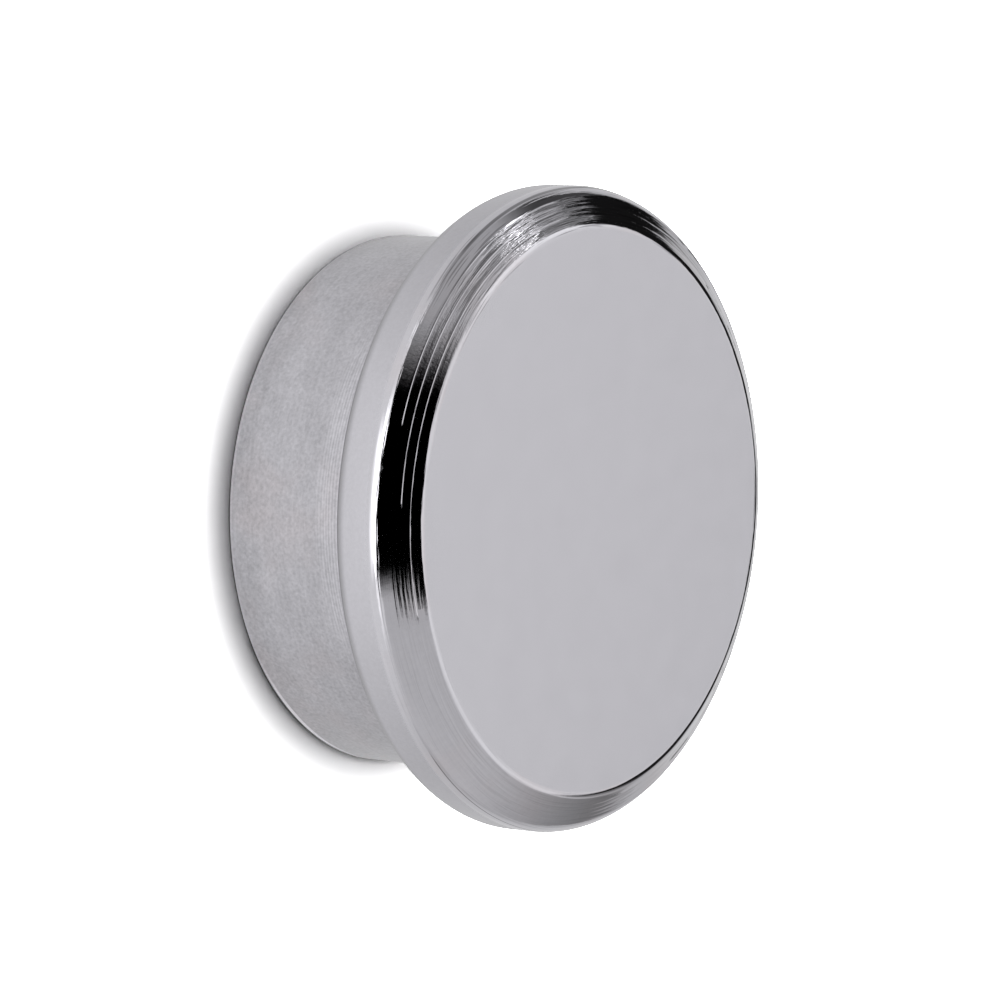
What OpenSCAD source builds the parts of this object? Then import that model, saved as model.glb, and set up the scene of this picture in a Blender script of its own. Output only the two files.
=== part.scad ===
// Disc magnet for holding paper to a steel board.
// A turned steel housing with a wide, bevelled head carries a magnet disc in its back.
// The back face stands on Z = 0, the axis is Z and the front face looks up.
// All sizes are in millimetres.

/* [Magnet disc] */
// Diameter of the magnet disc
magnet_d = 14; // [6:0.5:40]
// Thickness of the magnet disc
magnet_h = 4; // [2:0.25:15]
// Rounding of the magnet disc's edges
magnet_edge_r = 0.25; // [0.05:0.05:0.8]

/* [Recess] */
// Room for adhesive, all round the magnet disc
glue_gap = 0.1; // [0.05:0.05:0.5]
// How far the magnet disc lies in from the back face
magnet_sink = 0.15; // [0.05:0.05:1]
// Chamfer round the mouth of the recess
mouth_chamfer = 0.15; // [0.05:0.05:0.4]

/* [Neck] */
// Steel wall round the recess
neck_wall = 1.2; // [0.8:0.1:6]
// Chamfer round the back edge
back_chamfer = 0.1; // [0.05:0.05:0.4]
// Rounding in the corner between the neck and the head
root_r = 0.2; // [0.05:0.05:0.6]

/* [Head] */
// How far the head stands out beyond the neck
head_overhang = 1.7; // [0.8:0.1:8]
// Steel between the magnet disc and the front face
crown_t = 3.65; // [2.6:0.05:12]
// Height of the head's side, from its rear edge to the bevel
side_h = 1.85; // [1:0.05:4]
// Rounding of the head's rear edge
heel_r = 0.6; // [0.1:0.05:0.8]
// Rounding where the head's side runs into the bevel
rim_r = 0.7; // [0.1:0.05:1]

/* [Bevel] */
// Width of the bevel, along the radius
bevel_w = 1.2; // [0.6:0.1:5]
// Height of the bevel, along the axis
bevel_h = 0.7; // [0.3:0.05:3]
// Rounding where the bevel runs into the front face
face_edge_r = 0.4; // [0.1:0.05:1]

/* [Turning grooves] */
// Distance down the bevel from the front face's rounding to the first groove
groove_start = 0.24; // [0.1:0.01:0.5]
// Distance from one groove to the next
groove_pitch = 0.31; // [0.12:0.01:1]
// Plain strip left between the last groove and the head's side
plain_strip = 0.35; // [0.1:0.05:1]
// Width of a groove
groove_w = 0.07; // [0.02:0.01:0.1]
// Depth of a groove
groove_depth = 0.02; // [0.005:0.005:0.06]

/* [Hidden] */

// Straight pieces in a round corner, and facets in a full turn
corner_steps = 10;
$fn = 180;

// A corner takes no more than this share of the shorter side beside it
corner_share = 0.49;

steel_colour = [0.73, 0.73, 0.75];
magnet_colour = [0.60, 0.60, 0.63];

magnet_r = magnet_d / 2;
recess_r = magnet_r + glue_gap;
neck_r = recess_r + neck_wall;
head_r = neck_r + head_overhang;
face_r = head_r - bevel_w;

seat_z = magnet_sink + magnet_h;
front_z = seat_z + crown_t;
bevel_z = front_z - bevel_h;
shoulder_z = bevel_z - side_h;

// The three corners of the head, as [radius, height]
heel_corner = [head_r, shoulder_z];
rim_corner = [head_r, bevel_z];
face_corner = [face_r, front_z];

// Slope of the bevel from the front face's plane, and where the rim's rounding begins on it
bevel_slope = atan2(bevel_h, bevel_w);
rim_reach = corner_reach(heel_corner, rim_corner, face_corner, rim_r);
rim_turn = 90 - bevel_slope;
rim_radius = rim_reach / tan(rim_turn / 2);
rim_start = norm(rim_corner - face_corner) - rim_reach;
rim_centre = bevel_point(rim_start) - rim_radius * slope_normal(bevel_slope);

// Where the first groove and the last groove may lie, as distances down the bevel
first_groove = corner_reach(rim_corner, face_corner, [0, front_z], face_edge_r) + groove_start;
last_groove = rim_start + rim_radius * rim_turn * PI / 180 - plain_strip;

function unit(v) = v / norm(v);

function turned(v, angle) = [
    v.x * cos(angle) - v.y * sin(angle),
    v.x * sin(angle) + v.y * cos(angle)
];

// Direction that looks squarely out of a surface with this slope
function slope_normal(slope) = [sin(slope), cos(slope)];

// Half of the angle between the two sides of a corner at b
function half_angle(a, b, c) = acos(unit(a - b) * unit(c - b)) / 2;

// How far a rounding of radius r runs along each side of the corner at b
function corner_reach(a, b, c, r) =
    min(r / tan(half_angle(a, b, c)), corner_share * min(norm(a - b), norm(c - b)));

// The corner at b rounded to radius r, on the way from a to c
function round_corner(a, b, c, r) =
    let (
        half = half_angle(a, b, c),
        reach = corner_reach(a, b, c, r),
        centre = b + unit(unit(a - b) + unit(c - b)) * reach / cos(half),
        from = b + unit(a - b) * reach - centre,
        to = b + unit(c - b) * reach - centre,
        turn = sign(cross(from, to)) * (180 - 2 * half)
    )
    [for (i = [0 : corner_steps]) centre + turned(from, turn * i / corner_steps)];

// An outline from corners given as [radius, height, rounding]
function outline(corners) = [
    for (i = [0 : len(corners) - 1])
        let (
            count = len(corners),
            here = corners[i],
            b = [here.x, here.y]
        )
        each here.z == 0
            ? [b]
            : round_corner(
                xy(corners[(i + count - 1) % count]), b, xy(corners[(i + 1) % count]), here.z
            )
];

function xy(corner) = [corner.x, corner.y];

// Point on the flat of the bevel, at a distance down from the front face
function bevel_point(s) = face_corner + s * unit(rim_corner - face_corner);

// Slope of the turned surface at that distance, which steepens round the rim
function slope_at(s) = bevel_slope + max(0, s - rim_start) / rim_radius * 180 / PI;

function surface_point(s) =
    s < rim_start ? bevel_point(s) : rim_centre + rim_radius * slope_normal(slope_at(s));

module groove(s) {
    translate(surface_point(s))
        rotate(-slope_at(s))
            polygon([[-groove_w, groove_depth], [groove_w, groove_depth], [0, -groove_depth]]);
}

module housing_section() {
    difference() {
        polygon(outline([
            [0, seat_z, 0],
            [recess_r, seat_z, 0],
            [recess_r, mouth_chamfer, 0],
            [recess_r + mouth_chamfer, 0, 0],
            [neck_r - back_chamfer, 0, 0],
            [neck_r, back_chamfer, 0],
            [neck_r, shoulder_z, root_r],
            [heel_corner.x, heel_corner.y, heel_r],
            [rim_corner.x, rim_corner.y, rim_r],
            [face_corner.x, face_corner.y, face_edge_r],
            [0, front_z, 0]
        ]));
        for (s = [first_groove : groove_pitch : last_groove])
            groove(s);
    }
}

module housing() {
    color(steel_colour)
        rotate_extrude()
            housing_section();
}

module magnet() {
    color(magnet_colour)
        rotate_extrude()
            polygon(outline([
                [0, magnet_sink, 0],
                [magnet_r, magnet_sink, magnet_edge_r],
                [magnet_r, seat_z, magnet_edge_r],
                [0, seat_z, 0]
            ]));
}

housing();
magnet();
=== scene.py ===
"""Disc magnet for a steel board: a turned steel housing with a bevelled head, and a magnet disc in its back.

The packed model is the frame. The housing and the magnet disc are turned again here in finer detail,
given their finishes and set in a plain studio. Outlines are drawn in millimetres and end in metres.
"""

import math

import bmesh
import bpy
from mathutils import Matrix, Vector, noise


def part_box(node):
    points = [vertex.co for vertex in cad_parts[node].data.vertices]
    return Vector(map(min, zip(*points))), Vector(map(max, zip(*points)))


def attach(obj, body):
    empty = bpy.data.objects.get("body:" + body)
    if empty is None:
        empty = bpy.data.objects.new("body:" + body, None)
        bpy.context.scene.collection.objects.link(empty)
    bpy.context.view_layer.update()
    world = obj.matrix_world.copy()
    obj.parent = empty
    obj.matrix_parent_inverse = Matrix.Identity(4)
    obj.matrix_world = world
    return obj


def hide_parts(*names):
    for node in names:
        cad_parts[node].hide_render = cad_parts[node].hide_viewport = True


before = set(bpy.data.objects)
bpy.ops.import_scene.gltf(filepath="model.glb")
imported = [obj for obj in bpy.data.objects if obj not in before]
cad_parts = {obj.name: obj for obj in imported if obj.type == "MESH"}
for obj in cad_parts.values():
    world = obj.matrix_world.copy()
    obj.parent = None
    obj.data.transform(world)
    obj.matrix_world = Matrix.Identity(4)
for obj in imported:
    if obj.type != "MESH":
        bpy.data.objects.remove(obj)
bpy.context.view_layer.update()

bl_info = {
    "name": "Disc Magnet",
    "version": (1, 0, 0),
    "blender": (4, 5, 0),
    "location": "View3D > Sidebar > Disc Magnet",
    "description": "Turns a disc magnet's steel housing, sets its magnet and lights a plain studio",
    "category": "Add Mesh",
}

MM = 0.001
BODY = "root"

# Facets in a full turn, straight pieces in a round corner, and the sharpest angle that is shaded smooth
FACETS = 432
CORNER_STEPS = 12
SMOOTH_BELOW = math.radians(20)

# In millimetres: how near to a groove the outline is cut finer, how close a cut may pass a point,
# and how close two points are the same
CUT_REACH = 1.2
CUT_SLACK = 1e-5
SAME_POINT = 1e-4

# Where each groove is deep, as middle and half arc in degrees, and the share of its depth left elsewhere
DEEP_ARCS = [
    [(248, 40), (100, 45)],
    [(240, 30), (70, 30)],
    [(238, 17), (130, 20)],
    [(50, 12)],
]
SHALLOW = 0.18

# How far a deep arc's ends wander and fade, and how strongly it is beaded. Each noise has its scale
# and its step from one groove to the next.
RAGGED_DEGREES = 9
RAGGED_SCALE = 14
RAGGED_STEP = 3.7
FADE_DEGREES = 5
BEAD_SHARE = 0.5
BEAD_SCALE = 70
BEAD_STEP = 5.3

# Half the board's width and its drop below the object, in metres
BOARD_HALF = 6.0
BOARD_DROP = 0.01 * MM

# The photograph's camera: its place in metres, the direction to its right and the one behind it
CAMERA_PLACE = (0.0, -0.126083, 0.097838)
CAMERA_RIGHT = (-0.06686, 0.59541, 0.80063)
CAMERA_BACK = (0.00094, -0.80239, 0.5968)
SENSOR_WIDTH = 36.0
CLIP_NEAR = 0.01
CLIP_FAR = 20.0

# Direction to the middle of the soft lamp
LAMP_WAY = (-0.01, 0.10, 1.0)

HOUSING_LOW, HOUSING_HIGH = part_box("housing")
MAGNET_LOW, MAGNET_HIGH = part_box("magnet")


def span(low, high, axis):
    """Size of a CAD node's box along an axis, to the nearest hundredth of a millimetre."""
    return round(high[axis] - low[axis], 5)


def length(name, description, default, **limits):
    """A length in metres for one of the panels."""
    return bpy.props.FloatProperty(
        name=name, description=description, default=default, unit="LENGTH", precision=5, min=0.0, **limits
    )


def tint(name, description, default):
    """A colour for one of the panels, as linear red, green and blue."""
    return bpy.props.FloatVectorProperty(
        name=name, description=description, default=default, subtype="COLOR", size=3, min=0.0, max=1.0
    )


def share(name, description, default, top=1.0):
    """A plain number from 0 to top for one of the panels."""
    return bpy.props.FloatProperty(
        name=name, description=description, default=default, subtype="FACTOR", min=0.0, max=top
    )


class HousingSizes(bpy.types.PropertyGroup):
    """Sizes of the turned housing."""

    head_d: length("Head diameter", "Across the head", span(HOUSING_LOW, HOUSING_HIGH, 0))
    height: length("Height", "Back face to front face", span(HOUSING_LOW, HOUSING_HIGH, 2))
    neck_d: length("Neck diameter", "Across the neck", 0.0166)
    recess_d: length("Recess diameter", "Across the recess that holds the magnet disc", 0.0142)
    recess_depth: length("Recess depth", "Back face to the seat of the magnet disc", MAGNET_HIGH[2])
    mouth_chamfer: length("Mouth chamfer", "Chamfer round the mouth of the recess", 0.00015)
    back_chamfer: length("Back chamfer", "Chamfer round the back edge", 0.00004)
    root_r: length("Root rounding", "Rounding in the corner between neck and head", 0.0002)
    side_h: length("Side height", "Head's rear edge to its bevel", 0.00185)
    heel_r: length("Heel rounding", "Rounding of the head's rear edge", 0.0006)
    rim_r: length("Rim rounding", "Rounding where the head's side runs into the bevel", 0.0007)
    bevel_w: length("Bevel width", "Width of the bevel, along the radius", 0.0012)
    bevel_h: length("Bevel height", "Height of the bevel, along the axis", 0.0007)
    face_edge_r: length("Face edge rounding", "Rounding where the bevel meets the front face", 0.0004)
    groove_start: length("First groove", "Front face's rounding to the first groove", 0.00024)
    groove_pitch: length("Groove pitch", "From one groove to the next", 0.00031)
    groove_w: length("Groove width", "Across one groove", 0.00007)
    groove_depth: length("Groove depth", "Depth of one groove", 0.00002)
    strip_hollow: length("Strip hollow", "How far the strip between two grooves is hollowed", 0.000002)
    groove_count: bpy.props.IntProperty(
        name="Grooves", description="Turning grooves down the bevel", default=4, min=0, max=12
    )


class MagnetSizes(bpy.types.PropertyGroup):
    """Sizes of the magnet disc."""

    diameter: length("Diameter", "Across the magnet disc", span(MAGNET_LOW, MAGNET_HIGH, 0))
    back_z: length("Sink", "How far the disc lies in from the back face", MAGNET_LOW[2])
    front_z: length("Seat", "Height of the disc's inner face", MAGNET_HIGH[2])
    edge_r: length("Edge rounding", "Rounding of the disc's edges", 0.00025)


class FinishLook(bpy.types.PropertyGroup):
    """Colours and finishes of the two metals."""

    steel: tint("Steel", "Colour of the turned steel", (0.556, 0.548, 0.583))
    steel_warm: tint("Warm steel", "Colour of the faint warmer patches", (0.560, 0.535, 0.562))
    satin: share("Satin roughness", "Roughness of the neck, the side and the back", 0.30)
    face: share("Face roughness", "Roughness of the front face", 0.20)
    bright: share("Bevel roughness", "Roughness of the bright-turned bevel", 0.06)
    ring_marks: share("Turning marks", "Strength of the fine rings that turning leaves", 0.6)
    nickel: tint("Nickel", "Colour of the magnet disc's plating", (0.60, 0.57, 0.53))
    nickel_roughness: share("Nickel roughness", "Roughness of the plating", 0.22)


class StudioLook(bpy.types.PropertyGroup):
    """Board, lamp and camera."""

    board: tint("Board", "Colour of the pale board", (0.90, 0.90, 0.90))
    board_white: share("Board brightness", "How bright the board looks to the camera", 4.0, 6.0)
    lamp_share: share("Lamp", "Share of the plain light that comes from the soft lamp overhead", 0.96)
    lamp_angle: bpy.props.FloatProperty(
        name="Lamp size",
        description="Angle that the soft lamp fills, as seen from the object",
        default=math.radians(44),
        subtype="ANGLE",
    )
    focal_length: bpy.props.FloatProperty(
        name="Focal length", description="Of the camera, in millimetres", default=181.348, unit="CAMERA"
    )


class Value:
    """A number that varies over a surface. Sums and products of it add Math nodes."""

    def __init__(self, nodes, socket):
        self.nodes = nodes
        self.socket = socket

    def math(self, operation, *terms):
        return self.nodes.add("ShaderNodeMath", {"operation": operation}, dict(enumerate(terms)))

    def __add__(self, other):
        return self.math("ADD", self, other)

    def __radd__(self, other):
        return self.math("ADD", other, self)

    def __sub__(self, other):
        return self.math("SUBTRACT", self, other)

    def __rsub__(self, other):
        return self.math("SUBTRACT", other, self)

    def __mul__(self, other):
        return self.math("MULTIPLY", self, other)

    def __rmul__(self, other):
        return self.math("MULTIPLY", other, self)

    def __truediv__(self, other):
        return self.math("DIVIDE", self, other)

    def __pow__(self, other):
        return self.math("POWER", self, other)

    def __abs__(self):
        return self.math("ABSOLUTE", self)


class Nodes:
    """The node tree of one material, or of the world."""

    def __init__(self, owner):
        owner.use_nodes = True
        self.tree = owner.node_tree
        self.tree.nodes.clear()

    def add(self, kind, settings=None, sockets=None, out=0):
        """One node with its settings, then the values or links of its sockets; returns one output."""
        node = self.tree.nodes.new(kind)
        for name, setting in (settings or {}).items():
            setattr(node, name, setting)
        for name, value in (sockets or {}).items():
            if isinstance(value, Value):
                self.tree.links.new(value.socket, node.inputs[name])
            else:
                node.inputs[name].default_value = value
        return Value(self, node.outputs[out]) if len(node.outputs) else node

    def place(self):
        """Where a point is on its own piece, in metres."""
        return self.add("ShaderNodeTexCoord", out="Object")

    def parts(self, vector):
        """The three numbers of a vector."""
        split = self.add("ShaderNodeSeparateXYZ", sockets={0: vector}).socket.node
        return [Value(self, socket) for socket in split.outputs]

    def joined(self, x, y, z):
        return self.add("ShaderNodeCombineXYZ", sockets={0: x, 1: y, 2: z})

    def rise(self, value, low, high):
        """0 below low, 1 above high and a smooth rise between them; low may be the greater."""
        return self.add(
            "ShaderNodeMapRange",
            {"interpolation_type": "SMOOTHSTEP", "clamp": True},
            {0: value, 1: low, 2: high, 3: 0.0, 4: 1.0},
        )

    def band(self, value, low, full, last, high):
        """1 from full to last, and 0 below low and above high."""
        return self.rise(value, low, full) * self.rise(value, high, last)

    def blend(self, amount, first, second):
        """A colour between two colours."""
        return self.add("ShaderNodeMix", {"data_type": "RGBA"}, {0: amount, 6: first, 7: second}, out=2)

    def noise(self, vector, scale, detail=2.0, roughness=0.5):
        """Noise around 0.5, as a number."""
        return self.add(
            "ShaderNodeTexNoise",
            {"noise_dimensions": "3D"},
            {"Vector": vector, "Scale": scale, "Detail": detail, "Roughness": roughness},
        )


def towards(number, level, amount):
    """A number drawn towards a level by an amount from 0 to 1."""
    return number + (level - number) * amount


def rgba(colour):
    return (*colour, 1.0)


def draw_outline(corners):
    """A line in the XZ plane through corners given as radius, height and rounding, with them rounded."""
    bm = bmesh.new()
    bm.verts.layers.int.new("groove")
    bm.verts.layers.float.new("sunk")
    bm.verts.layers.float.new("slope")
    points = [Vector((radius, 0, height)) for radius, height, _ in corners]
    verts = [bm.verts.new(point) for point in points]
    for pair in zip(verts, verts[1:]):
        bm.edges.new(pair)
    for number, (_, _, rounding) in enumerate(corners):
        if rounding:
            bmesh.ops.bevel(
                bm,
                geom=[verts[number]],
                offset=corner_reach(*points[number - 1 : number + 2], rounding),
                offset_type="OFFSET",
                segments=CORNER_STEPS,
                profile=0.5,
                affect="VERTICES",
                material=-1,
            )
    return bm


def corner_reach(before, corner, after, rounding):
    """How far a rounding runs along each side of a corner."""
    half = (before - corner).angle(after - corner) / 2
    return rounding / math.tan(half)


def press_in(bm, point, slope, half_width, depth, power, cuts, groove=0):
    """Cuts a stretch of the outline finer and presses it in, deepest at its middle.

    A groove has a number above 0, and its points keep what fade_grooves needs.
    """
    number_of = bm.verts.layers.int["groove"]
    sunk = bm.verts.layers.float["sunk"]
    slope_of = bm.verts.layers.float["slope"]
    along = Vector((math.cos(slope), 0, -math.sin(slope)))
    out = Vector((math.sin(slope), 0, math.cos(slope)))
    for number in range(cuts):
        shift = half_width * (2 * number / (cuts - 1) - 1)
        near = [edge for edge in bm.edges if min((v.co - point).length for v in edge.verts) < CUT_REACH]
        ends = list({vert for edge in near for vert in edge.verts})
        bmesh.ops.bisect_plane(
            bm, geom=near + ends, dist=CUT_SLACK, plane_co=point + along * shift, plane_no=along
        )
    for vert in bm.verts:
        way = (vert.co - point).dot(along) / half_width
        if abs(way) < 1 and abs((vert.co - point).dot(out)) < half_width:
            press = depth * (1 - abs(way) ** power)
            vert.co -= out * press
            if groove:
                vert[number_of] = groove
                vert[sunk] = press
                vert[slope_of] = slope


def degrees_between(first, second):
    """Smallest angle between two directions round the turn."""
    return abs((first - second + 180) % 360 - 180)


def fade_grooves(bm):
    """Lifts the turned grooves back out where they are worn, so that each is deep on some arcs only."""
    number_of = bm.verts.layers.int["groove"]
    sunk = bm.verts.layers.float["sunk"]
    slope_of = bm.verts.layers.float["slope"]

    def wander(angle, scale, row):
        """Noise that runs round the turn, a row of it for each groove."""
        return noise.noise(Vector((math.cos(angle) * scale, math.sin(angle) * scale, row)))

    for vert in bm.verts:
        groove = vert[number_of]
        if groove:
            angle = math.atan2(vert.co.y, vert.co.x)
            ragged = RAGGED_DEGREES * wander(angle, RAGGED_SCALE, groove * RAGGED_STEP)
            arcs = DEEP_ARCS[min(groove, len(DEEP_ARCS)) - 1]
            inside = ragged + max(
                half_arc - degrees_between(math.degrees(angle), middle) for middle, half_arc in arcs
            )
            beaded = BEAD_SHARE * wander(angle, BEAD_SCALE, groove * BEAD_STEP)
            deep = min(max(inside / FADE_DEGREES + 0.5, 0.0), 1.0) * (1 - abs(beaded))
            out = Vector((math.sin(vert[slope_of]), 0, math.cos(vert[slope_of])))
            out.rotate(Matrix.Rotation(angle, 3, "Z"))
            vert.co += out * vert[sunk] * (1 - SHALLOW - (1 - SHALLOW) * deep)


def turn(name, bm):
    """Turns an outline round Z into a closed, smooth-shaded piece in metres."""
    bmesh.ops.spin(
        bm,
        geom=bm.verts[:] + bm.edges[:],
        cent=(0, 0, 0),
        axis=(0, 0, 1),
        angle=math.tau,
        steps=FACETS,
        use_merge=True,
    )
    bmesh.ops.remove_doubles(bm, verts=bm.verts, dist=SAME_POINT)
    fade_grooves(bm)
    bmesh.ops.recalc_face_normals(bm, faces=bm.faces)
    bmesh.ops.scale(bm, vec=(MM, MM, MM), verts=bm.verts)
    for face in bm.faces:
        face.smooth = True
    mesh = bpy.data.meshes.new(name)
    bm.to_mesh(mesh)
    bm.free()
    mesh.set_sharp_from_angle(angle=SMOOTH_BELOW)
    piece = bpy.data.objects.new(name, mesh)
    bpy.context.scene.collection.objects.link(piece)
    even = piece.modifiers.new("Even shading", "WEIGHTED_NORMAL")
    even.keep_sharp = True
    return piece


def finish_steel(material, look, sizes):
    """Turned steel: satin neck and side, bright bevel with fine rings, even front face. Its colour also
    carries painted shade, a painted highlight and a painted dark reflection.
    """
    nodes = Nodes(material)
    place = nodes.place()
    x, y, z = nodes.parts(place)
    radius = (x * x + y * y) ** 0.5
    path = (z - radius) / MM
    turn_x = x / radius
    turn_y = y / radius

    def rings(per_mm, drift, detail=2.0):
        """Noise drawn out into rings: so many to a millimetre of outline, broken up round the turn."""
        return nodes.noise(nodes.joined(turn_x * drift, turn_y * drift, path * per_mm), 1.0, detail)

    rim_z = sizes.height - sizes.bevel_h
    heel_z = rim_z - sizes.side_h
    head_r = sizes.head_d / 2
    neck_r = sizes.neck_d / 2
    face_r = head_r - sizes.bevel_w
    on_rim = nodes.rise(z, rim_z - 0.50 * MM, rim_z - 0.36 * MM)
    off_face = nodes.rise(radius, face_r - 0.15 * MM, face_r - 0.11 * MM)
    bevel = on_rim * off_face
    face = on_rim * (1.0 - off_face)
    satin = 1.0 - bevel

    blotch = nodes.noise(place, 900.0, 3.0, 0.6)
    grain = nodes.noise(place, 9000.0, 3.0, 0.6)
    fine = rings(9.0, 6.0, 3.0)
    coarse = rings(3.2, 2.5)
    chatter = nodes.noise(nodes.joined(turn_x * 66.0, turn_y * 66.0, path * 3.0), 1.0, 2.0)
    neck = nodes.rise(z, heel_z - 0.35 * MM, heel_z - 0.65 * MM)
    neck = neck * nodes.rise(radius, neck_r - 0.3 * MM, neck_r)

    # Fine feed marks on the neck, by the head on the near side; that stretch is also painted a little lighter
    # as painted light
    near_head = nodes.rise(z, heel_z - 2.05 * MM, heel_z - 1.45 * MM)
    near_head = near_head * neck * nodes.rise(turn_y, -0.76, -0.93)
    feed = path.math("SINE", path * 58.0 + coarse * 6.0) * near_head
    # A painted dark reflection: one thin dark line on the rim at both sides. And the turning marks' streaks
    # along the bevel there, painted darker as shade, mostly on one side
    rim_path = (rim_z - head_r) / MM - 0.1
    rim_width = 0.03 - 0.02 * turn_x
    painted_rim_reflection = nodes.rise(abs(path - rim_path + 0.04 * turn_x), rim_width * 2.2, rim_width)
    painted_rim_reflection = painted_rim_reflection * (nodes.rise(turn_x, 0.74, 0.80) + nodes.rise(turn_x, -0.62, -0.80))
    streaks = nodes.rise(rings(15.0, 4.0, 1.0), 0.55, 0.65) * bevel
    streaks = streaks * nodes.rise(z, rim_z - 0.36 * MM, rim_z - 0.22 * MM)
    streaks = streaks * (nodes.rise(turn_x, -0.45, -0.70) + 0.18 * nodes.rise(turn_x, 0.35, 0.60))
    # Painted shade and a painted highlight at the foot: a dark line and a light line, wider and stronger at
    # one side
    low_side = nodes.rise(turn_x, 0.60, 0.88)
    dark_top = (0.045 + 0.045 * low_side) * MM
    light_top = (0.12 + 0.13 * low_side) * MM
    painted_foot_shade = nodes.rise(z, dark_top + 0.01 * MM, dark_top - 0.01 * MM)
    painted_foot_shade = painted_foot_shade * nodes.rise(radius, neck_r - 0.10 * MM, neck_r - 0.06 * MM)
    painted_foot_shade = painted_foot_shade * (0.6 + 0.3 * low_side)
    painted_foot_highlight = nodes.rise(z, light_top + 0.02 * MM, light_top - 0.02 * MM) * neck
    painted_foot_highlight = painted_foot_highlight * nodes.rise(z, dark_top, dark_top + 0.02 * MM) * (0.10 + 0.55 * low_side)
    # Painted shade along the head's rear edge, where it faces the board
    painted_heel_shade = nodes.rise(z, heel_z + 0.60 * MM, heel_z + 0.24 * MM)
    painted_heel_shade = painted_heel_shade * nodes.rise(radius, head_r - 0.7 * MM, head_r - 0.5 * MM)

    # How light the steel is: broad tones first, with painted shade on the neck, deepest towards the foot and
    # on one side, and on the head's side towards both sides; then grain and rings, then the marks with the
    # painted shade, highlight and dark reflection
    side = satin * (1.0 - face) * (1.0 - neck)
    tone = 1.0 - 0.16 * neck + (blotch - 0.5) * 0.26 * neck + feed * 0.09 + near_head * 0.08
    tone = tone - (0.12 * nodes.rise(z, 1.6 * MM, 0.0) + 0.06 * nodes.rise(turn_x, 0.1, 0.5)) * neck
    tone = tone - 0.07 * side * nodes.rise(abs(turn_x), 0.25, 0.60)
    grain_share = 0.03 + 0.36 * neck + 0.15 * satin * (1.0 - face)
    tone = tone + (grain - 0.5) * grain_share + (fine - 0.5) * 0.18 * neck
    tone = tone + ((fine - 0.5) * 0.10 + (chatter - 0.5) * 0.08) * bevel - streaks * 0.40
    # Painted dark reflection on the rim, painted shade on the heel and at the foot, and the painted highlight
    # at the foot
    tone = tone * (1.0 - 0.60 * painted_rim_reflection) * (1.0 - 0.50 * painted_heel_shade) * (1.0 - painted_foot_shade) + painted_foot_highlight
    warm = nodes.rise(nodes.noise(place, 420.0, 2.0), 0.45, 0.75) * (neck + bevel * 0.8)
    colour = nodes.blend(warm, rgba(look.steel), rgba(look.steel_warm))
    colour = nodes.add(
        "ShaderNodeVectorMath", {"operation": "MULTIPLY"}, {0: colour, 1: nodes.joined(tone, tone, tone)}
    )
    rough = look.satin + (look.face - look.satin) * face + (look.bright - look.satin) * bevel
    rough = rough + (blotch - 0.5) * 0.06 * satin

    # Turning marks on the bevel, fainter over the rim and on one side
    height = (fine - 0.5) * 1.1 + (coarse - 0.5) * 2.0
    height = height + (chatter - 0.5) * 0.14 * nodes.rise(turn_x, -0.80, -0.65)
    marked = nodes.rise(z, rim_z - 0.38 * MM, rim_z - 0.24 * MM)
    marked = marked * (1.0 - 0.6 * nodes.rise(turn_x, 0.45, 0.70))
    # A finely mottled arc of the bevel
    mottled = nodes.band(turn_x, -0.66, -0.55, -0.38, -0.28) * nodes.rise(turn_y, -0.6, -0.7)
    height = height * bevel * marked + fine * 0.06 * neck + (grain - 0.5) * 0.6 * bevel * mottled
    bump = nodes.add(
        "ShaderNodeBump", sockets={"Strength": look.ring_marks, "Distance": 0.009 * MM, "Height": height}
    )
    shader = nodes.add(
        "ShaderNodeBsdfPrincipled",
        sockets={"Base Color": colour, "Metallic": 1.0, "Roughness": rough, "Normal": bump},
    )
    nodes.add("ShaderNodeOutputMaterial", sockets={"Surface": shader})


def finish_nickel(material, look):
    """Plated magnet disc: a soft, slightly warm gloss with faint waves and fine scuffs."""
    nodes = Nodes(material)
    place = nodes.place()
    wave = nodes.noise(place, 500.0, 2.0)
    scuff = nodes.noise(place, 6000.0, 4.0, 0.65)
    scuffed = [part * 0.86 for part in look.nickel]
    colour = nodes.blend(nodes.rise(scuff, 0.35, 0.75), rgba(look.nickel), rgba(scuffed))
    rough = look.nickel_roughness + (scuff - 0.5) * 0.16
    bump = nodes.add(
        "ShaderNodeBump",
        sockets={"Strength": 0.5, "Distance": 0.004 * MM, "Height": wave + scuff * 0.4},
    )
    shader = nodes.add(
        "ShaderNodeBsdfPrincipled",
        sockets={"Base Color": colour, "Metallic": 1.0, "Roughness": rough, "Normal": bump},
    )
    nodes.add("ShaderNodeOutputMaterial", sockets={"Surface": shader})


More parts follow.
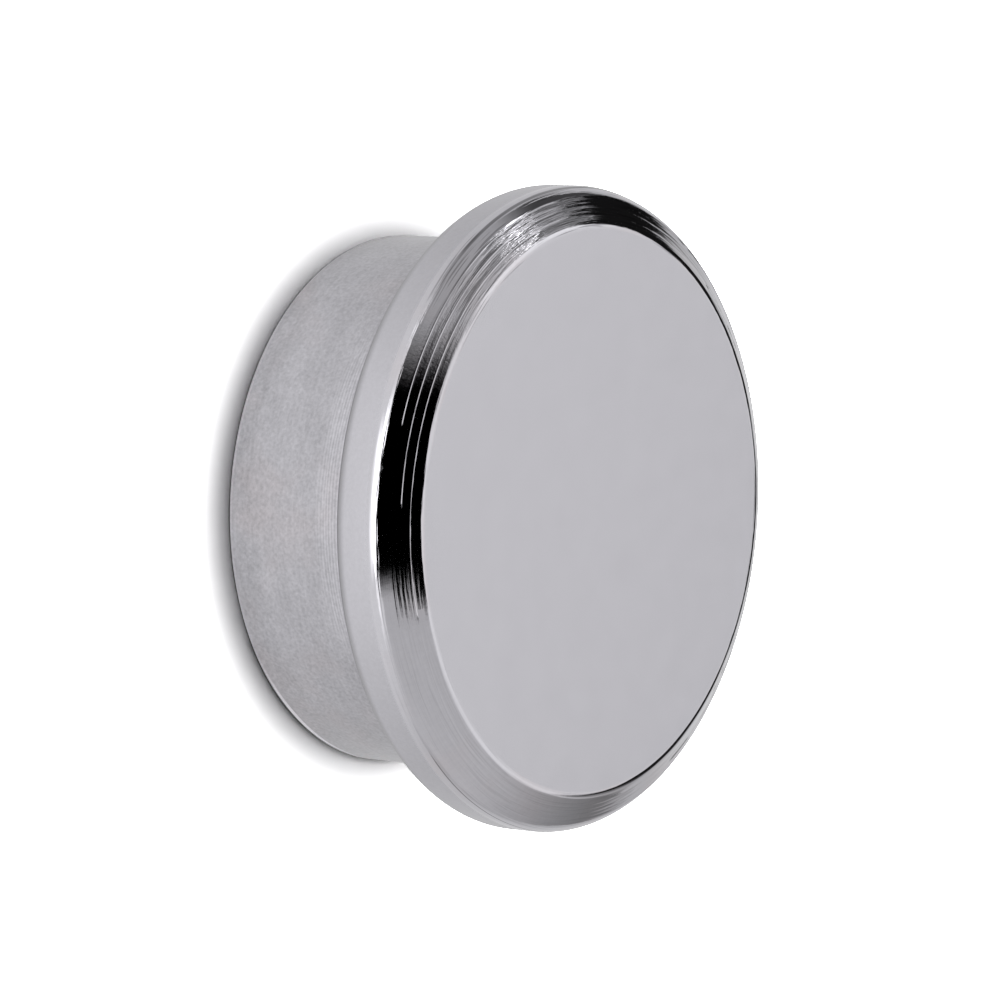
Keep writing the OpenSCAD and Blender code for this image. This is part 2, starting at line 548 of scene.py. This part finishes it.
def finish_board(material, look, neck_r):
    """Pale board: white to the camera where the light is open, with the object's soft shadow kept."""
    nodes = Nodes(material)
    path = nodes.add("ShaderNodeLightPath").socket.node
    to_camera = Value(nodes, path.outputs["Is Camera Ray"])
    in_metal = Value(nodes, path.outputs["Is Glossy Ray"])
    in_glass = Value(nodes, path.outputs["Is Transmission Ray"])
    first = 1.0 - nodes.rise(Value(nodes, path.outputs["Diffuse Depth"]), 0.4, 0.6)
    x, y, _ = nodes.parts(nodes.place())
    out = (x * x + y * y) ** 0.5
    # A painted shadow on one side, deepest where the neck meets the board, deepens the real shadow there
    painted_contact_shadow = nodes.rise(out, neck_r + 0.25 * MM, neck_r - 0.02 * MM) * nodes.rise(x / out, 0.40, 0.65)
    bright = towards(look.board[0], look.board_white, to_camera) * (1.0 - 0.5 * painted_contact_shadow)
    shaded = nodes.add("ShaderNodeBsdfDiffuse", sockets={"Color": nodes.joined(bright, bright, bright)})
    # What metal mirrors: an evenly glowing board with a painted pool of light towards the near card and
    # painted shade far out behind, and the board's real shading only under the neck
    ahead = 0.0 - y / out
    mirrored = 0.78 + 0.24 * nodes.rise(ahead, 0.1, 1.0)
    mirrored = mirrored - 0.14 * nodes.rise(out, 0.03, 0.08) * nodes.rise(ahead, 0.4, 0.0)
    mirrored = mirrored + 1.1 * nodes.rise(out, 0.020, 0.042) * nodes.rise(ahead, 0.90, 0.98)
    even = nodes.add("ShaderNodeEmission", sockets={"Color": nodes.joined(mirrored, mirrored, mirrored)})
    open_board = nodes.rise(out, neck_r - 0.1 * MM, neck_r + 0.1 * MM)
    surface = nodes.add(
        "ShaderNodeMixShader", sockets={0: (in_metal + in_glass) * first * open_board, 1: shaded, 2: even}
    )
    clear = nodes.add("ShaderNodeBsdfTransparent")
    below = nodes.add("ShaderNodeNewGeometry", out="Backfacing")
    surface = nodes.add("ShaderNodeMixShader", sockets={0: below, 1: surface, 2: clear})
    nodes.add("ShaderNodeOutputMaterial", sockets={"Surface": surface})


# Soft round cards over the front face, the wide one first: direction, half angle, softness, brightness
STUDIO_CARDS = [
    ((0.0, 0.72, 0.69), 30, 8, 1.125),
    ((0.0, 0.79, 0.61), 14, 5, 0.975),
]

# The studio is laid out round a stand on the near side, which looks at the object from this Y and Z
STAND = (-0.813, 0.582)


def light_world(world, look):
    """Plain light for everything, white to the camera, and a studio of soft cards for the steel to mirror."""
    nodes = Nodes(world)
    direction = nodes.add("ShaderNodeTexCoord", out="Generated")
    x, y, z = nodes.parts(direction)

    def within(centre, half_angle, softness):
        """1 inside a round card, 0 outside it."""
        facing = nodes.add(
            "ShaderNodeVectorMath",
            {"operation": "DOT_PRODUCT"},
            {0: direction, 1: Vector(centre).normalized()},
            out="Value",
        )
        outer = math.cos(math.radians(half_angle + softness))
        inner = math.cos(math.radians(half_angle - softness))
        return nodes.rise(facing, outer, inner)

    # Steel that faces this way round and slopes this much, both in degrees, mirrors the direction to the
    # stand. The way is 0 on the near side and grows to the right, and the slope is 0 on the front face.
    reach_y = y + STAND[0]
    way = x.math("ARCTAN2", x, 0.0 - reach_y) * math.degrees(1)
    slope = x.math("ARCTAN2", (x * x + reach_y * reach_y) ** 0.5, z + STAND[1]) * math.degrees(1)

    level = 0.60 + x * 0.15
    # Left: a card with a darker middle, which the turning marks break up into streaks
    shade = 0.68 - 0.42 * nodes.rise(slope, 30.8, 33.6) + 0.28 * nodes.rise(slope, 35, 42)
    level = towards(level, shade, nodes.band(way, -84, -78, -26, -16))
    # Right: a little more light over the upper part of the bevel
    level = level + 0.05 * nodes.rise(slope, 33.5, 30.5) * nodes.rise(way, 15, 30)
    for centre, half_angle, softness, brightness in STUDIO_CARDS:
        level = towards(level, brightness, within(centre, half_angle, softness))
    # Further left: a dark card that the rim mirrors, and a light one that the face's edge mirrors
    rim_card = nodes.band(way, -100, -94, -70, -56) * nodes.band(slope, 35.5, 38, 62, 74)
    level = towards(level, 0.08, rim_card)
    edge_card = nodes.band(way, -84, -76, -50, -36) * nodes.band(slope, 15, 20, 27, 28.5)
    level = towards(level, 1.35, edge_card)
    # A narrow bright strip, which the turning marks break up into dashes
    strip = nodes.rise(abs(slope - 32.4), 0.45, 0.18) + nodes.rise(abs(slope - 38.5), 1.2, 0.6)
    ends = abs(way + 61.5 + 3 * slope.math("SINE", slope * 9.0))
    level = towards(level, 6.0, strip * nodes.rise(ends, 5.0, 2.5))
    # Right: a grey card that darkens away from the stand, and starts lower on the bevel there
    grey = nodes.rise(way, 58, 102) * (1.0 - 0.6 * nodes.rise(way - (slope - 33) * 2, 98, 104))
    low_start = nodes.rise(way, 76, 90)
    level = towards(level, 0.25, grey * nodes.rise(slope, 19 - 9 * low_start, 26 - 12 * low_start))
    # The dark gap beyond the board's far side, under the cards that light the front face
    low_edge = 0.07 + x * x * 0.375 + x * abs(x) * 0.875
    high_edge = 0.47 + 0.055 * nodes.rise(x, 0.02, 0.12)
    far_gap = nodes.rise(z - low_edge, -0.02, 0.03) * nodes.rise(z - high_edge, 0.03, -0.03)
    far_gap = far_gap * nodes.rise(y, 0.0, 0.2) * nodes.band(x, -0.615, -0.595, 0.25, 0.45)
    level = towards(level, 0.01, far_gap)
    # A bright card low in front of the object, brightest at its middle, for the rim's highlight
    far_right = nodes.rise(way, 14, 24)
    near_card = nodes.rise(slope, 65.5 - 7 * far_right, 67 + 8 * far_right)
    near_card = near_card * nodes.band(way, -42, -27, 26, 48)
    near_level = 1.75 - 0.65 * nodes.rise(abs(way + 23.5), 8, 3) - 0.65 * nodes.rise(way, 17, 29)
    near_level = near_level + 1.5 * nodes.rise(abs(way), 16, 10)
    level = towards(level, near_level, near_card)
    # The dark card above it, reaching over the object, for the black band on the bevel
    tip = 6 * nodes.rise(slope, 30, 34) - 4
    left = nodes.rise(way - 3 * nodes.rise(slope, 33, 44), -39, -22)
    right = nodes.rise(way + tip, 21, 15)
    near_face = nodes.rise(slope - 8 * nodes.rise(way, -5, -25), 15, 18)
    level = towards(level, 0.0, left * right * near_face * nodes.rise(slope, 67.5, 65.5))

    # Only metal mirrors the cards: the camera sees white, and everything else gets plain light
    path = nodes.add("ShaderNodeLightPath").socket.node
    first = 1.0 - nodes.rise(Value(nodes, path.outputs["Diffuse Depth"]), 0.4, 0.6)
    mirrored = Value(nodes, path.outputs["Is Glossy Ray"]) * first
    seen = Value(nodes, path.outputs["Is Camera Ray"])
    level = towards(1.0 - look.lamp_share, level, mirrored)
    level = towards(level, 1.0, seen)
    glow = nodes.add(
        "ShaderNodeBackground", sockets={"Color": nodes.joined(level, level, level), "Strength": 1.0}
    )
    nodes.add("ShaderNodeOutputWorld", sockets={"Surface": glow})


def place_lamp(look):
    """The soft lamp overhead, which only the board and the shadow see."""
    light = bpy.data.lights.new("soft_lamp", "SUN")
    light.energy = math.pi * look.lamp_share
    light.angle = look.lamp_angle
    lamp = bpy.data.objects.new("soft_lamp", light)
    lamp.visible_glossy = False
    lamp.rotation_euler = Vector(LAMP_WAY).to_track_quat("Z", "Y").to_euler()
    bpy.context.scene.collection.objects.link(lamp)


def place_camera(look):
    """The photograph's camera: near side of the object, on its side, looking down at the board."""
    data = bpy.data.cameras.new("camera")
    data.sensor_width = SENSOR_WIDTH
    data.lens = look.focal_length
    data.clip_start = CLIP_NEAR
    data.clip_end = CLIP_FAR
    camera = bpy.data.objects.new("camera", data)
    right = Vector(CAMERA_RIGHT).normalized()
    back = Vector(CAMERA_BACK)
    up = back.cross(right).normalized()
    back = right.cross(up)
    turn_to = Matrix((right, up, back)).transposed().to_4x4()
    camera.matrix_world = Matrix.Translation(CAMERA_PLACE) @ turn_to
    bpy.context.scene.collection.objects.link(camera)
    bpy.context.scene.camera = camera


class DISCMAGNET_OT_housing(bpy.types.Operator):
    """Turns the steel housing"""

    bl_idname = "discmagnet.housing"
    bl_label = "Turn Housing"

    def execute(self, context):
        sizes = context.scene.disc_magnet_housing
        head_r = sizes.head_d / MM / 2
        neck_r = sizes.neck_d / MM / 2
        recess_r = sizes.recess_d / MM / 2
        front_z = sizes.height / MM
        seat_z = sizes.recess_depth / MM
        mouth = sizes.mouth_chamfer / MM
        back = sizes.back_chamfer / MM
        face_r = head_r - sizes.bevel_w / MM
        rim_z = front_z - sizes.bevel_h / MM
        heel_z = rim_z - sizes.side_h / MM
        bm = draw_outline(
            [
                (0, seat_z, 0),
                (recess_r, seat_z, 0),
                (recess_r, mouth, 0),
                (recess_r + mouth, 0, 0),
                (neck_r - back, 0, 0),
                (neck_r, back, 0),
                (neck_r, heel_z, sizes.root_r / MM),
                (head_r, heel_z, sizes.heel_r / MM),
                (head_r, rim_z, sizes.rim_r / MM),
                (face_r, front_z, sizes.face_edge_r / MM),
                (0, front_z, 0),
            ]
        )
        self.cut_marks(bm, sizes, Vector((face_r, 0, front_z)), Vector((head_r, 0, rim_z)))
        piece = turn("turned_housing", bm)
        steel = bpy.data.materials.new("turned_steel")
        finish_steel(steel, context.scene.disc_magnet_finish, sizes)
        piece.data.materials.append(steel)
        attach(piece, BODY)
        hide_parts("housing")
        return {"FINISHED"}

    def cut_marks(self, bm, sizes, face_corner, rim_corner):
        """Grooves and shallow hollows down the bevel, the last of them on the rim's rounding."""
        slope = math.atan2(face_corner.z - rim_corner.z, rim_corner.x - face_corner.x)
        down = (rim_corner - face_corner).normalized()
        below = Vector((rim_corner.x, 0, rim_corner.z - 1))
        reach = corner_reach(face_corner, rim_corner, below, sizes.rim_r / MM)
        inward = Vector((0, 0, face_corner.z))
        first = corner_reach(rim_corner, face_corner, inward, sizes.face_edge_r / MM)
        first += sizes.groove_start / MM
        rim_start = (rim_corner - face_corner).length - reach
        rim_r = sizes.rim_r / MM
        out = Vector((math.sin(slope), 0, math.cos(slope)))
        centre = face_corner + down * rim_start - out * rim_r

        def spot(distance):
            """Point and slope of the surface at a distance down from the front face."""
            if distance < rim_start:
                return face_corner + down * distance, slope
            steeper = slope + (distance - rim_start) / rim_r
            return centre + Vector((math.sin(steeper), 0, math.cos(steeper))) * rim_r, steeper

        width = sizes.groove_w / MM
        pitch = sizes.groove_pitch / MM
        hollow = sizes.strip_hollow / MM
        depth = sizes.groove_depth / MM
        for number in range(sizes.groove_count - 1):
            middle = first + number * pitch + pitch / 2
            press_in(bm, *spot(middle), (pitch - width) / 2, hollow, power=2, cuts=5)
        for number in range(sizes.groove_count):
            distance = first + number * pitch
            press_in(bm, *spot(distance), width / 2, depth, power=1, cuts=3, groove=number + 1)


class DISCMAGNET_OT_magnet(bpy.types.Operator):
    """Turns the plated magnet disc in the housing's back"""

    bl_idname = "discmagnet.magnet"
    bl_label = "Set Magnet Disc"

    def execute(self, context):
        sizes = context.scene.disc_magnet_disc
        edge_r = sizes.edge_r / MM
        disc_r = sizes.diameter / MM / 2
        low = sizes.back_z / MM
        high = sizes.front_z / MM
        bm = draw_outline([(0, low, 0), (disc_r, low, edge_r), (disc_r, high, edge_r), (0, high, 0)])
        piece = turn("magnet_disc", bm)
        nickel = bpy.data.materials.new("nickel_plate")
        finish_nickel(nickel, context.scene.disc_magnet_finish)
        piece.data.materials.append(nickel)
        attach(piece, BODY)
        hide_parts("magnet")
        return {"FINISHED"}


class DISCMAGNET_OT_studio(bpy.types.Operator):
    """Lays the pale board, lights it and places the camera"""

    bl_idname = "discmagnet.studio"
    bl_label = "Light Studio"

    def execute(self, context):
        look = context.scene.disc_magnet_studio
        bm = bmesh.new()
        bmesh.ops.create_grid(bm, x_segments=1, y_segments=1, size=BOARD_HALF)
        bmesh.ops.translate(bm, vec=(0, 0, -BOARD_DROP), verts=bm.verts)
        mesh = bpy.data.meshes.new("board")
        bm.to_mesh(mesh)
        bm.free()
        board = bpy.data.objects.new("board", mesh)
        context.scene.collection.objects.link(board)
        pale = bpy.data.materials.new("pale_board")
        finish_board(pale, look, context.scene.disc_magnet_housing.neck_d / 2)
        mesh.materials.append(pale)
        world = bpy.data.worlds.new("studio")
        context.scene.world = world
        light_world(world, look)
        place_lamp(look)
        place_camera(look)
        context.scene.view_settings.view_transform = "Standard"
        return {"FINISHED"}


class DISCMAGNET_PT_panel(bpy.types.Panel):
    """Sizes, finishes and studio of the disc magnet"""

    bl_idname = "DISCMAGNET_PT_panel"
    bl_label = "Disc Magnet"
    bl_space_type = "VIEW_3D"
    bl_region_type = "UI"
    bl_category = "Disc Magnet"

    def draw(self, context):
        for slot, group in GROUPS.items():
            box = self.layout.box()
            box.label(text=group.__doc__)
            for name in group.__annotations__:
                box.prop(getattr(context.scene, slot), name)
        for operator in OPERATORS:
            self.layout.operator(operator.bl_idname)


GROUPS = {
    "disc_magnet_housing": HousingSizes,
    "disc_magnet_disc": MagnetSizes,
    "disc_magnet_finish": FinishLook,
    "disc_magnet_studio": StudioLook,
}
OPERATORS = [DISCMAGNET_OT_studio, DISCMAGNET_OT_housing, DISCMAGNET_OT_magnet]


def register():
    for kind in [*GROUPS.values(), *OPERATORS, DISCMAGNET_PT_panel]:
        bpy.utils.register_class(kind)
    for slot, group in GROUPS.items():
        setattr(bpy.types.Scene, slot, bpy.props.PointerProperty(type=group))


def unregister():
    for slot in GROUPS:
        delattr(bpy.types.Scene, slot)
    for kind in [DISCMAGNET_PT_panel, *OPERATORS, *reversed(GROUPS.values())]:
        bpy.utils.unregister_class(kind)


def main():
    register()
    bpy.ops.discmagnet.studio()
    bpy.ops.discmagnet.housing()
    bpy.ops.discmagnet.magnet()


if __name__ == "__main__":
    main()
